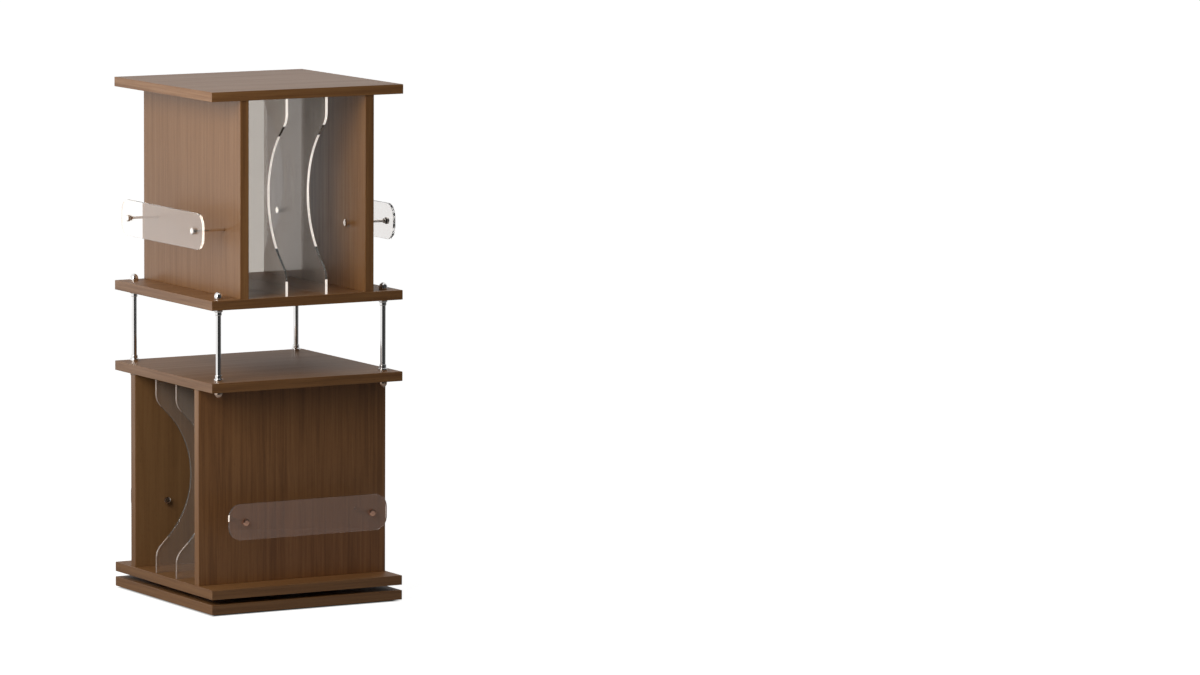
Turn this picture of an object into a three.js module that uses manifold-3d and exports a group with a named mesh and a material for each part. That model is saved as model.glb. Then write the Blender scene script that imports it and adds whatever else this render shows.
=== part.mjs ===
// Rotating media tower: two open tiers of boards on chrome rods, turning on a low bearing over a base board.
// Millimetres, +Z up. The origin is on the floor, under the middle of the square base board.
import * as THREE from "three";
import { mergeVertices } from "three/addons/utils/BufferGeometryUtils.js";
import Module from "manifold-3d";

const wasm = await Module();
wasm.setup();

// Boards
const board_side = 400;
const board_thickness = 18;
const foot_height = 3;
const foot_radius = 15;
const foot_inset = 36;
const bearing_height = 10;
const tier_clear_height = 367;
const bay_height = 135;

// Side panels of a tier, which stand between two boards
const panel_thickness = 18;
const panel_inset = 60;
const panel_end_inset = 3;

// Clear dividers, held in grooves of the boards above and below
const divider_thickness = 5;
const divider_end_inset = 6;
const groove_depth = 4;
const notch_depth = 73;
const notch_radius = 165;
const notch_lip_radius = 35;
const notch_angle = THREE.MathUtils.degToRad(45);
const notch_steps = 12;
const lip_steps = 5;

// Clear rails on long pins outside the panels
const rail_thickness = 5;
const rail_length = 332;
const rail_height = 68;
const rail_corner_radius = 25;
const rail_clear_depth = 58;
const rail_centre_height = 124;
const rail_corner_steps = 7;
const pin_inset = 33;
const pin_shank_radius = 2.5;
const pin_spigot_radius = 1.8;
const pin_spigot_reach = 3;
const pin_knob_radius = 6.5;
const pin_knob_height = 9;
const pin_knob_skirt = 8;
const pin_neck_radius = 3.6;
const pin_neck_height = 5;
const pin_collar_radius = 4.5;
const pin_collar_height = 2.5;
const rail_cap_radius = 6.5;
const rail_cap_height = 5.5;
const rail_cap_skirt = 4.5;

// Chrome rods between the tiers, with a cap nut outside each board and a stepped collar inside it
const rod_radius = 5;
const rod_inset = 27;
const rod_reach = 8;
const rod_cap_radius = 8;
const rod_cap_height = 14;
const rod_cap_skirt = 5;
const collar_flange_radius = 8.5;
const collar_flange_height = 5;
const collar_neck_radius = 6.4;
const collar_height = 12;
const collar_slope = 1.2;

// Turning bearing: two races with a cage of balls between them
const race_radius = 130;
const race_width = 30;
const race_height = 3.4;
const race_groove_floor = 3.2;
const race_groove_mouth = 8.4;
const ball_radius = 3.3;
const ball_count = 12;
const cage_width = 12;
const cage_thickness = 2.2;

// Clearances
const fit_gap = 0.3;
const cut_overrun = 1;

// Facets of round pieces
const hardware_steps = 20;
const small_steps = 16;
const dome_steps = 4;
const race_steps = 48;
const ball_steps = 8;
const foot_steps = 24;

const quarter_turn = Math.PI / 2;

// Heights of the boards' faces above the floor
const base_under = foot_height;
const base_top = base_under + board_thickness;
const bottom_under = base_top + bearing_height;
const bottom_top = bottom_under + board_thickness;
const middle_under = bottom_top + tier_clear_height;
const middle_top = middle_under + board_thickness;
const shelf_under = middle_top + bay_height;
const shelf_top = shelf_under + board_thickness;
const top_under = shelf_top + tier_clear_height;

// Places in plan that several pieces share
const panel_outer = board_side / 2 - panel_inset;
const panel_inner = panel_outer - panel_thickness;
const panel_depth = board_side - 2 * panel_end_inset;
const divider_depth = board_side - 2 * divider_end_inset;
const compartment_width = (2 * panel_inner - 2 * divider_thickness) / 3;
const divider_place = (compartment_width + divider_thickness) / 2;
const divider_tongue = groove_depth - fit_gap;
const pin_place = rail_length / 2 - pin_inset;
const rod_place = board_side / 2 - rod_inset;
const foot_place = board_side / 2 - foot_inset;

// Materials
function walnut() {
  return new THREE.MeshStandardMaterial({ color: 0x6b4a35, roughness: 0.55, metalness: 0 });
}

function clearAcrylic() {
  return new THREE.MeshStandardMaterial({
    color: 0xdcd8d2,
    roughness: 0.06,
    metalness: 0,
    transparent: true,
    opacity: 0.35,
  });
}

function chrome() {
  return new THREE.MeshStandardMaterial({ color: 0xc9c7c4, roughness: 0.12, metalness: 1 });
}

function aluminium() {
  return new THREE.MeshStandardMaterial({ color: 0xa7a9ab, roughness: 0.35, metalness: 1 });
}

function nylon() {
  return new THREE.MeshStandardMaterial({ color: 0xd8d6cf, roughness: 0.5, metalness: 0 });
}

function rubber() {
  return new THREE.MeshStandardMaterial({ color: 0x1d1b1a, roughness: 0.9, metalness: 0 });
}

// Turns a closed geometry into a solid for cutting and joining
function solidOf(geometry) {
  const bare = geometry.clone();
  bare.deleteAttribute("normal");
  bare.deleteAttribute("uv");
  const merged = mergeVertices(bare);
  return new wasm.Manifold(
    new wasm.Mesh({
      numProp: 3,
      vertProperties: merged.attributes.position.array,
      triVerts: new Uint32Array(merged.index.array),
    }),
  );
}

function geometryOf(solid) {
  const mesh = solid.getMesh();
  const geometry = new THREE.BufferGeometry();
  geometry.setAttribute("position", new THREE.BufferAttribute(mesh.vertProperties, 3));
  geometry.setIndex(new THREE.BufferAttribute(mesh.triVerts, 1));
  geometry.computeVertexNormals();
  return geometry;
}

// A turned piece about +Z from [radius, height] pairs that start and end on the axis, or close on themselves
function turned(profile, steps) {
  const points = profile.map(([radius, height]) => new THREE.Vector2(radius, height));
  return new THREE.LatheGeometry(points, steps).rotateX(quarter_turn);
}

// The curve of a domed end, from the top of its skirt to its tip on the axis
function dome(radius, skirt, height) {
  return Array.from({ length: dome_steps }, (_, i) => {
    const angle = (quarter_turn * (i + 1)) / dome_steps;
    const onAxis = i === dome_steps - 1;
    return [onAxis ? 0 : radius * Math.cos(angle), skirt + (height - skirt) * Math.sin(angle)];
  });
}

// A plate that lies in the YZ plane and is as thick as given along +X, starting at x = 0
function uprightPlate(shape, thickness) {
  const toUpright = new THREE.Matrix4().makeBasis(
    new THREE.Vector3(0, 1, 0),
    new THREE.Vector3(0, 0, 1),
    new THREE.Vector3(1, 0, 0),
  );
  const flat = new THREE.ExtrudeGeometry(shape, {
    depth: thickness,
    bevelEnabled: false,
    curveSegments: rail_corner_steps,
  });
  return flat.applyMatrix4(toUpright);
}

function roundHole(x, y, radius, steps) {
  const points = Array.from({ length: steps }, (_, i) => {
    const angle = (-2 * Math.PI * i) / steps;
    return new THREE.Vector2(x + radius * Math.cos(angle), y + radius * Math.sin(angle));
  });
  return new THREE.Path(points);
}

function cornerPlaces(distance) {
  return [
    ["front_left", -distance, -distance],
    ["front_right", distance, -distance],
    ["back_left", -distance, distance],
    ["back_right", distance, distance],
  ];
}

function addMesh(group, name, geometry, material, place = [0, 0, 0]) {
  const mesh = new THREE.Mesh(geometry, material);
  mesh.name = name;
  mesh.position.set(...place);
  group.add(mesh);
  return mesh;
}

// A square board, z = 0 at its underside, with holes for the rods where it has them
function boardGeometry(drilled) {
  const half = board_side / 2;
  const outline = new THREE.Shape([
    new THREE.Vector2(-half, -half),
    new THREE.Vector2(half, -half),
    new THREE.Vector2(half, half),
    new THREE.Vector2(-half, half),
  ]);
  if (drilled)
    for (const [, x, y] of cornerPlaces(rod_place))
      outline.holes.push(roundHole(x, y, rod_radius + fit_gap, hardware_steps));
  return new THREE.ExtrudeGeometry(outline, { depth: board_thickness, bevelEnabled: false });
}

// Cuts the two grooves that hold a tier's dividers into the top or the underside of a board
function grooved(board, onTop, alongX) {
  const length = divider_depth + 2 * fit_gap;
  const width = divider_thickness + 2 * fit_gap;
  const height = groove_depth + cut_overrun;
  const z = onTop ? board_thickness - groove_depth + height / 2 : groove_depth - height / 2;
  return [-divider_place, divider_place].reduce((solid, place) => {
    const cutter = new THREE.BoxGeometry(alongX ? length : width, alongX ? width : length, height);
    cutter.translate(alongX ? 0 : place, alongX ? place : 0, z);
    return solid.subtract(solidOf(cutter));
  }, solidOf(board));
}

function addBoards(tower) {
  addMesh(tower, "base_board", boardGeometry(false), walnut(), [0, 0, base_under]);
  const boards = [
    ["bottom_board", bottom_under, false, true, true],
    ["middle_board", middle_under, true, false, true],
    ["shelf_board", shelf_under, true, true, false],
    ["top_board", top_under, false, false, false],
  ];
  for (const [name, z, drilled, grooveOnTop, grooveAlongX] of boards)
    addMesh(
      tower,
      name,
      geometryOf(grooved(boardGeometry(drilled), grooveOnTop, grooveAlongX)),
      walnut(),
      [0, 0, z],
    );
}

// A side panel with the holes of its rail's two pins
function panelGeometry() {
  const half = panel_depth / 2;
  const outline = new THREE.Shape([
    new THREE.Vector2(-half, 0),
    new THREE.Vector2(half, 0),
    new THREE.Vector2(half, tier_clear_height),
    new THREE.Vector2(-half, tier_clear_height),
  ]);
  for (const side of [-1, 1])
    outline.holes.push(
      roundHole(side * pin_place, rail_centre_height, pin_shank_radius + fit_gap, small_steps),
    );
  return uprightPlate(outline, panel_thickness);
}

// One end of a divider from bottom to top: lip, slanted stretch, hollow arc, and the same again upside down
function notchedEdge() {
  const middle = tier_clear_height / 2;
  const arcRise = notch_radius * Math.sin(notch_angle);
  const arcDepth = notch_depth - notch_radius * (1 - Math.cos(notch_angle));
  const lipDepth = notch_lip_radius * (1 - Math.cos(notch_angle));
  const slantRise = (arcDepth - lipDepth) / Math.tan(notch_angle);
  const lipStart = middle - arcRise - slantRise - notch_lip_radius * Math.sin(notch_angle);
  const lower = [[0, -divider_tongue]];
  for (let i = 0; i <= lip_steps; i += 1) {
    const angle = (notch_angle * i) / lip_steps;
    lower.push([
      notch_lip_radius * (1 - Math.cos(angle)),
      lipStart + notch_lip_radius * Math.sin(angle),
    ]);
  }
  for (let i = 0; i < notch_steps / 2; i += 1) {
    const angle = notch_angle * (1 - (2 * i) / notch_steps);
    lower.push([
      notch_depth - notch_radius * (1 - Math.cos(angle)),
      middle - notch_radius * Math.sin(angle),
    ]);
  }
  const upper = lower.map(([depth, height]) => [depth, tier_clear_height - height]).reverse();
  return [...lower, [notch_depth, middle], ...upper];
}

function dividerGeometry() {
  const half = divider_depth / 2;
  const edge = notchedEdge();
  const back = edge.map(([depth, height]) => new THREE.Vector2(half - depth, height));
  const front = edge.map(([depth, height]) => new THREE.Vector2(depth - half, height)).reverse();
  return uprightPlate(new THREE.Shape([...back, ...front]), divider_thickness);
}

// A rail with round corners and a hole for each pin's spigot
function railGeometry() {
  const halfLength = rail_length / 2;
  const halfHeight = rail_height / 2;
  const radius = rail_corner_radius;
  const outline = new THREE.Shape();
  outline.moveTo(-halfLength + radius, -halfHeight);
  outline.lineTo(halfLength - radius, -halfHeight);
  outline.absarc(halfLength - radius, -halfHeight + radius, radius, -quarter_turn, 0);
  outline.absarc(halfLength - radius, halfHeight - radius, radius, 0, quarter_turn);
  outline.absarc(-halfLength + radius, halfHeight - radius, radius, quarter_turn, 2 * quarter_turn);
  outline.absarc(-halfLength + radius, -halfHeight + radius, radius, -2 * quarter_turn, -quarter_turn);
  for (const side of [-1, 1])
    outline.holes.push(roundHole(side * pin_place, 0, pin_spigot_radius + fit_gap, small_steps));
  return uprightPlate(outline, rail_thickness);
}

// A pin about +Z: knob on a neck below z = 0, shank through the panel, collar at the rail and spigot through it
function pinGeometry() {
  const shankEnd = panel_thickness + rail_clear_depth;
  const knobDome = dome(pin_knob_radius, pin_knob_skirt, pin_knob_height)
    .map(([radius, height]) => [radius, -height])
    .reverse();
  return turned(
    [
      ...knobDome,
      [pin_knob_radius, -pin_knob_skirt],
      [pin_knob_radius, -pin_neck_height],
      [pin_neck_radius, -pin_neck_height],
      [pin_neck_radius, 0],
      [pin_shank_radius, 0],
      [pin_shank_radius, shankEnd - pin_collar_height],
      [pin_collar_radius, shankEnd - pin_collar_height],
      [pin_collar_radius, shankEnd],
      [pin_spigot_radius, shankEnd],
      [pin_spigot_radius, shankEnd + rail_thickness + pin_spigot_reach],
      [0, shankEnd + rail_thickness + pin_spigot_reach],
    ],
    small_steps,
  );
}

// A domed cap with a blind bore, its flat face at z = 0
function capGeometry(radius, skirt, height, boreRadius, boreDepth, steps) {
  return turned(
    [[0, boreDepth], [boreRadius, boreDepth], [boreRadius, 0], [radius, 0], [radius, skirt]].concat(
      dome(radius, skirt, height),
    ),
    steps,
  );
}

// Panels, dividers and rails of one tier, open toward its own front and back; its floor is z = 0
function tierGroup(tier, sideNames, endNames) {
  const group = new THREE.Group();
  for (const [i, side] of [-1, 1].entries()) {
    const label = tier + "_" + sideNames[i];
    const panelX = side < 0 ? -panel_outer : panel_inner;
    addMesh(group, label + "_panel", panelGeometry(), walnut(), [panelX, 0, 0]);
    const dividerX = side * divider_place - divider_thickness / 2;
    addMesh(group, label + "_divider", dividerGeometry(), clearAcrylic(), [dividerX, 0, 0]);
    const railInner = panel_outer + rail_clear_depth;
    const railX = side < 0 ? -railInner - rail_thickness : railInner;
    addMesh(group, label + "_rail", railGeometry(), clearAcrylic(), [railX, 0, rail_centre_height]);
    for (const [j, end] of [-1, 1].entries())
      addRailFixings(group, label, side, endNames[j], end * pin_place);
  }
  return group;
}

// The pin and the outer cap that hold a rail at one of its two holes
function addRailFixings(group, label, side, endName, y) {
  const pin = addMesh(group, label + "_rail_pin_" + endName, pinGeometry(), chrome(), [
    side * panel_inner,
    y,
    rail_centre_height,
  ]);
  const cap = addMesh(
    group,
    label + "_rail_cap_" + endName,
    capGeometry(
      rail_cap_radius,
      rail_cap_skirt,
      rail_cap_height,
      pin_spigot_radius + fit_gap,
      pin_spigot_reach + fit_gap,
      small_steps,
    ),
    chrome(),
    [side * (panel_outer + rail_clear_depth + rail_thickness), y, rail_centre_height],
  );
  pin.rotation.y = side * quarter_turn;
  cap.rotation.y = side * quarter_turn;
}

function addTiers(tower) {
  const upper = tierGroup("upper", ["left", "right"], ["front", "back"]);
  upper.position.z = shelf_top;
  const lower = tierGroup("lower", ["front", "back"], ["right", "left"]);
  lower.position.z = bottom_top;
  lower.rotation.z = quarter_turn;
  tower.add(upper, lower);
}

function rodGeometry() {
  const length = bay_height + 2 * (board_thickness + rod_reach);
  return new THREE.CylinderGeometry(rod_radius, rod_radius, length, hardware_steps)
    .rotateX(quarter_turn)
    .translate(0, 0, length / 2);
}

// A stepped collar round the rod: wide flange on the board at z = 0, narrower neck beyond it
function collarGeometry() {
  const bore = rod_radius + fit_gap;
  return turned(
    [
      [bore, 0],
      [collar_flange_radius, 0],
      [collar_flange_radius, collar_flange_height],
      [collar_neck_radius, collar_flange_height + collar_slope],
      [collar_neck_radius, collar_height],
      [bore, collar_height],
      [bore, 0],
    ],
    hardware_steps,
  );
}

function rodCapGeometry() {
  return capGeometry(
    rod_cap_radius,
    rod_cap_skirt,
    rod_cap_height,
    rod_radius + fit_gap,
    rod_reach + fit_gap,
    hardware_steps,
  );
}

function addRods(tower) {
  for (const [corner, x, y] of cornerPlaces(rod_place)) {
    const lowEnd = middle_under - rod_reach;
    addMesh(tower, "rod_" + corner, rodGeometry(), chrome(), [x, y, lowEnd]);
    addMesh(tower, "rod_cap_top_" + corner, rodCapGeometry(), chrome(), [x, y, shelf_top]);
    addMesh(tower, "rod_collar_bottom_" + corner, collarGeometry(), chrome(), [x, y, middle_top]);
    const capUnder = addMesh(tower, "rod_cap_bottom_" + corner, rodCapGeometry(), chrome(), [
      x,
      y,
      middle_under,
    ]);
    const collarUnder = addMesh(tower, "rod_collar_top_" + corner, collarGeometry(), chrome(), [
      x,
      y,
      shelf_under,
    ]);
    capUnder.rotation.x = 2 * quarter_turn;
    collarUnder.rotation.x = 2 * quarter_turn;
  }
}

// A race about +Z, flat at z = 0, with the balls' groove in its other face
function raceGeometry() {
  const inner = race_radius - race_width / 2;
  const outer = race_radius + race_width / 2;
  const grooveFloor = bearing_height / 2 - ball_radius - fit_gap;
  return turned(
    [
      [inner, 0],
      [outer, 0],
      [outer, race_height],
      [race_radius + race_groove_mouth / 2, race_height],
      [race_radius + race_groove_floor / 2, grooveFloor],
      [race_radius - race_groove_floor / 2, grooveFloor],
      [race_radius - race_groove_mouth / 2, race_height],
      [inner, race_height],
      [inner, 0],
    ],
    race_steps,
  );
}

// The cage ring with its balls joined to it, centred on z = 0
function ballCageGeometry() {
  const inner = race_radius - cage_width / 2;
  const outer = race_radius + cage_width / 2;
  const half = cage_thickness / 2;
  const ring = turned(
    [[inner, -half], [outer, -half], [outer, half], [inner, half], [inner, -half]],
    race_steps,
  );
  let cage = solidOf(ring);
  for (let i = 0; i < ball_count; i += 1) {
    const angle = (2 * Math.PI * i) / ball_count;
    const ball = new THREE.SphereGeometry(ball_radius, ball_steps, ball_steps);
    ball.rotateX(quarter_turn);
    ball.translate(race_radius * Math.cos(angle), race_radius * Math.sin(angle), 0);
    cage = cage.add(solidOf(ball));
  }
  return geometryOf(cage);
}

function addBearing(tower) {
  addMesh(tower, "bearing_lower_race", raceGeometry(), aluminium(), [0, 0, base_top]);
  const upperRace = addMesh(tower, "bearing_upper_race", raceGeometry(), aluminium(), [
    0,
    0,
    bottom_under,
  ]);
  upperRace.rotation.x = 2 * quarter_turn;
  addMesh(tower, "bearing_ball_cage", ballCageGeometry(), nylon(), [
    0,
    0,
    base_top + bearing_height / 2,
  ]);
}

function addFeet(tower) {
  for (const [corner, x, y] of cornerPlaces(foot_place)) {
    const pad = new THREE.CylinderGeometry(foot_radius, foot_radius, foot_height, foot_steps)
      .rotateX(quarter_turn)
      .translate(0, 0, foot_height / 2);
    addMesh(tower, "foot_" + corner, pad, rubber(), [x, y, 0]);
  }
}

const tower = new THREE.Group();
addFeet(tower);
addBearing(tower);
addBoards(tower);
addTiers(tower);
addRods(tower);

export default tower;
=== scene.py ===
"""Looks of the rotating media tower: veneered boards, clear dividers and rails, chrome rods and pins.

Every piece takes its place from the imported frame. Lengths are in metres, and +Z is up.
"""

import math

import bmesh
import bpy
from mathutils import Matrix, Vector


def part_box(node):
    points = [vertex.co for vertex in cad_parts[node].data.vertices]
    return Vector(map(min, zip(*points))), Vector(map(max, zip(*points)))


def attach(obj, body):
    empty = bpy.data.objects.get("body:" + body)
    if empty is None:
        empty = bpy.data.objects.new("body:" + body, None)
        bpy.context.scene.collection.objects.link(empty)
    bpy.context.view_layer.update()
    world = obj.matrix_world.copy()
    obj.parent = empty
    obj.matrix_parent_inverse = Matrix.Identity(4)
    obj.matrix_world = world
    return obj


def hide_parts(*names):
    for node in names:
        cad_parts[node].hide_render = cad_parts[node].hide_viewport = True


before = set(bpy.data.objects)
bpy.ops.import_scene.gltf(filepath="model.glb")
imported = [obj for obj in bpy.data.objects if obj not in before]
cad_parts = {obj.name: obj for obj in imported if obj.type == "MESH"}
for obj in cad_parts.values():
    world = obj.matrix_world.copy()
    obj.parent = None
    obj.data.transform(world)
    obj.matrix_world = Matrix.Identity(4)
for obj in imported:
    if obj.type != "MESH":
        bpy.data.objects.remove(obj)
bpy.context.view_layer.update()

# Camera, fitted to the corners of the boards in the photograph
CAMERA_EYE = (-5.8910, -11.2266, 2.0170)
CAMERA_AZIMUTH = math.radians(-27.697)
CAMERA_ELEVATION = math.radians(6.878)
CAMERA_LENS_MM = 203.94
SENSOR_WIDTH_MM = 36.0
PICTURE_WIDTH_PX = 1200
PRINCIPAL_X_PX = 259
CAMERA_REACH = 100.0

# Light
MOST_BOUNCES = 64
WORLD_LEVEL = 0.20
WORLD_COLOUR = (1, 0.985, 0.97, 1)
BACKGROUND_WHITE = 1.0
# Painted shade: the white background seen straight through two clear sheets falls to this level
SHADE_THROUGH_TWO_SHEETS = 0.425
FLOOR_COLOUR = 0.45
FLOOR_LIFT = 0.93
FLOOR_HALF = 30.0
# Painted shade in reflections: the floor's glow, as gloss sees it, rises from a low level near the tower to
# full between these distances
FLOOR_NEAR = 1.25
FLOOR_FAR = 2.6
FLOOR_NEAR_GLOSS_SHADE = 0.08
# Painted contact shadow: the floor's glow is cut off inside a square round the base and fades in across these
# half-widths
PAINTED_SHADOW_INSIDE = 0.188
PAINTED_SHADOW_OUTSIDE = 0.202
KEY_POWER = 38.0
KEY_SIZE = (1.2, 1.6)
KEY_COLOUR = (1.0, 0.95, 0.89)
KEY_PLACE = (-1.85, -0.9, 1.5)
KEY_TARGET = (0.0, 0.0, 0.85)
RIM_POWER = 1.2
RIM_SIZE = (0.8, 0.6)
RIM_PLACE = (-1.4, 2.35, 0.55)
RIM_TARGET = (-0.2, 0.0, 0.6)

# Dark screens that only gloss shows: the angles of both ends from the camera in degrees, the bottom, the top,
# the levels at both ends, and whether they also show in what a clear sheet reflects from within
FLAG_DISTANCE = 1.2
FLAG_STEPS = 36
FLAGS = {
    "front_left": (-28, 34, 0.0, 2.2, 0.03, 0.03, True),
    "front_right_low": (34, 75, 0.0, 0.22, 0.24, 0.24, True),
    "front_right": (34, 75, 0.22, 2.2, 0.06, 0.06, True),
    "side": (75, 106, 0.0, 2.2, 0.05, 0.05, False),
    "right": (106, 205, 0.0, 1.0, 0.5, 0.45, False),
    "behind_left": (233.1, 237, 0.5, 0.88, 0.95, 0.95, False),
}

# Boards, dividers and rails, where the frame's boxes don't give the shape
BOARD_ARRIS = 0.0008
PLATE_ARRIS = 0.0005
ARRIS_SEGMENTS = 2
NOTCH_DEPTH = 0.073
NOTCH_RADIUS = 0.165
NOTCH_LIP_RADIUS = 0.035
NOTCH_ANGLE = math.radians(45)
TONGUE = 0.0037
RAIL_CORNER_RADIUS = 0.025
FIT_GAP = 0.0003

# Rail pins and their caps
SPIGOT_RADIUS = 0.0018
SPIGOT_REACH = 0.003
SHANK_RADIUS = 0.0025
PIN_HOLE_RADIUS = SHANK_RADIUS + FIT_GAP
PIN_COLLAR_RADIUS = 0.0045
PIN_COLLAR_HEIGHT = 0.0025
PIN_COLLAR_FILLET = 0.0004
KNOB_RADIUS = 0.0065
KNOB_NECK_RADIUS = 0.0036
KNOB_NECK = 0.005
KNOB_SKIRT = 0.0083
KNOB_HEIGHT = 0.009
KNOB_FILLET = 0.0006
KNOB_NECK_FILLET = 0.0003
CAP_RADIUS = 0.0065
CAP_SKIRT = 0.0045
CAP_HEIGHT = 0.0055
CAP_CHAMFER = 0.0006
CROWN_POWER = 4.0

# Rods with their nuts and collars, and the foot pads
ROD_RADIUS = 0.005
ROD_REACH = 0.008
ROD_FILLET = 0.0005
NUT_RADIUS = 0.008
NUT_SKIRT = 0.0045
NUT_HEIGHT = 0.014
NUT_POWER = 0.66
FLANGE_RADIUS = 0.0085
FLANGE_HEIGHT = 0.005
FLANGE_SLOPE = 0.0008
FLANGE_FILLETS = (0.0003, 0.001)
NECK_RADIUS = 0.0064
NECK_FILLETS = (0.0004, 0.001)
COLLAR_HEIGHT = 0.012
PAD_FILLETS = (0.0008, 0.0003)

# Facets of round shapes
NOTCH_STEPS = 32
LIP_STEPS = 8
CORNER_STEPS = 14
HOLE_STEPS = 24
ROUND_STEPS = 48
PIN_STEPS = 32
DOME_STEPS = 12
FILLET_STEPS = 4
SMOOTH_ANGLE = math.radians(32)

# Where the ends of clear sheets get a painted glow, emission that stands in for the light they carry: a lean
# is the upward part of a face's normal, from -1 to 1
EDGE_FACING = 0.9
HOLLOW_LEANS = (-0.674, 0.6)
UPPER_END_LEANS = (-0.70, 0.02)
LOWER_END_LEANS = (-0.70, 0.72)
RAIL_END_LEAN = 0.85
# Heights of a painted highlight, a glowing spot on a rail's left end; the lower one also splits the straight
# part of every rail's ends
RAIL_HIGHLIGHT_LOW = 0.003
RAIL_HIGHLIGHT_HIGH = 0.0145

# Colours, levels and tones, among them painted glow, highlight, reflection and shade as marked
DIVIDER_TINT = (0.97, 0.93, 0.885)
DIVIDER_HAZES = {"upper": 0.05, "lower": 0.075}
# The lower rails' pinkish tint is a painted warm cast; they are the same clear acrylic as the upper rails
RAIL_TINTS_AND_WARM_CAST = {"upper": (0.985, 0.965, 0.945), "lower": (1.0, 0.87, 0.81)}
RAIL_HAZES = {"upper": 0.02, "lower": 0.065}
# Painted glow on the ends of the clear sheets and rails, by emission: bright in the upper tier, a faint
# brownish copy in the lower
EDGE_GLOW_COLOURS = {"upper": (1.0, 0.92, 0.84), "lower": (0.64, 0.49, 0.41), "rail": (1.0, 0.89, 0.78)}
EDGE_GLOW_LEVELS = {"upper": (0.65, 0.55), "lower": (0.02, 0.0)}
RAIL_END_GLOW_LEVEL = 0.64
# The lower caps' coppery colour is a painted reflection of the wood round them; the caps of both tiers are
# the same metal
CAP_COLOURS_WITH_PAINTED_REFLECTION = {"upper": (0.93, 0.88, 0.83), "lower": (0.86, 0.50, 0.36)}
PIN_COLOUR = (0.88, 0.82, 0.76)
ROD_COLOUR = (0.86, 0.85, 0.84)
# Painted shade: the nuts under the boards get a darker, browner copy of the rods' chrome
NUT_UNDER_SHADE_COLOUR = (0.60, 0.45, 0.36)
RACE_COLOUR = (0.55, 0.56, 0.57)
CAGE_COLOUR = (0.62, 0.61, 0.57)
RUBBER_COLOUR = (0.02, 0.019, 0.018)
PIN_SKIN = {"roughness": 0.16, "grain_scale": 60.0, "bump_strength": 0.02}
ROD_SKIN = {"roughness": 0.06, "grain_scale": 45.0, "bump_strength": 0.015}
NUT_UNDER_SKIN = {"roughness": 0.2, "grain_scale": 45.0, "bump_strength": 0.015}
RACE_SKIN = {"roughness": 0.32, "grain_scale": 250.0, "bump_strength": 0.1}
CAGE_SKIN = {"roughness": 0.5, "grain_scale": 500.0, "bump_strength": 0.1}
RUBBER_SKIN = {"roughness": 0.85, "grain_scale": 900.0, "bump_strength": 0.3}
WALNUT_DARK = (0.170, 0.075, 0.023)
WALNUT_MIDDLE = (0.218, 0.100, 0.032)
WALNUT_LIGHT = (0.262, 0.127, 0.044)
FACE_GLOSS = (0.52, 0.44)
UPRIGHT_GLOSS = (0.42, 0.33)
ACRYLIC_INDEX = 1.49
SHADE_THROUGH_ACRYLIC = 0.93

# Factors on the wood's colours, partly the pieces' own tones and partly painted light and shade for how each
# face is lit; a board's are those of its faces, its edges facing x and its edges facing y
BOARD_TONES_AND_SHADE = {
    "base_board": (0.88, 0.96, 0.73),
    "bottom_board": (1.07, 0.97, 0.79),
    "middle_board": (1.14, 0.94, 0.85),
    "shelf_board": (1.16, 1.0, 0.87),
    "top_board": (1.04, 1.19, 1.03),
}
# The panels' factors, on red, green and blue of their faces and on their edges, likewise hold painted light
# and shade besides the wood's own tone
PANEL_TONES_AND_SHADE = {
    "upper_left_panel": (1.11, 1.12, 1.12),
    "upper_right_panel": (1.08, 1.1, 1.18),
    "lower_front_panel": (0.93, 0.89, 0.88),
    "lower_back_panel": (1.08, 1.21, 1.46),
}
PANEL_EDGE_TONES_AND_SHADE = {
    "upper_left_panel": 1.04,
    "upper_right_panel": 0.94,
    "lower_front_panel": 1.1,
    "lower_back_panel": 0.91,
}
PANEL_FIGURES = {"upper_left_panel": 0.5, "upper_right_panel": 0.65, "lower_back_panel": 0.5}
BOARD_FACE_FIGURE = 0.6
FIGURE_SPREAD = 0.19

# Seeds that keep the boards' grain apart
SEED_SHARES = (0.37, 0.71, 0.53)
BOARD_SEED_STEP = 1.7
PANEL_SEED_STEP = 3.1
TIER_SEEDS = {"upper": 0.0, "lower": 7.3}

CORNERS = ("front_left", "front_right", "back_left", "back_right")
BOARD_GRAIN = "X"
BOARDS = {
    "base_board": "base",
    "bottom_board": "tower",
    "middle_board": "tower",
    "shelf_board": "tower",
    "top_board": "tower",
}

# Each tier's name, the axis across its panels, the panels' sides from low to high, and their rails' ends
TIERS = (
    ("upper", "X", ("left", "right"), ("front", "back")),
    ("lower", "Y", ("front", "back"), ("right", "left")),
)
RAIL_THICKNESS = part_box("upper_left_rail")[1][0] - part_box("upper_left_rail")[0][0]


# Material nodes


def add(tree, kind, inputs=None, **settings):
    """A node of that kind; an input is a plain value or the socket that feeds it"""
    node = tree.nodes.new(kind)
    for key, value in settings.items():
        setattr(node, key, value)
    for key, value in (inputs or {}).items():
        if isinstance(value, bpy.types.NodeSocket):
            tree.links.new(value, node.inputs[key])
        else:
            node.inputs[key].default_value = value
    return node


def new_material(name):
    """A material with an empty node tree and its output"""
    material = bpy.data.materials.new(name)
    material.use_nodes = True
    material.node_tree.nodes.clear()
    output = add(material.node_tree, "ShaderNodeOutputMaterial")
    return material, material.node_tree, output


def stretched(tree, along, across_scale, along_scale, shift):
    """Object coordinates squeezed so that a texture runs along one axis"""
    coordinates = add(tree, "ShaderNodeTexCoord")
    scale = [across_scale] * 3
    scale["XYZ".index(along)] = along_scale
    return add(
        tree,
        "ShaderNodeMapping",
        {"Vector": coordinates.outputs["Object"], "Location": shift, "Scale": scale},
    ).outputs["Vector"]


def noise(tree, vector, scale, detail=2.0, roughness=0.5):
    return add(
        tree,
        "ShaderNodeTexNoise",
        {"Vector": vector, "Scale": scale, "Detail": detail, "Roughness": roughness},
    ).outputs["Fac"]


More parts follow.
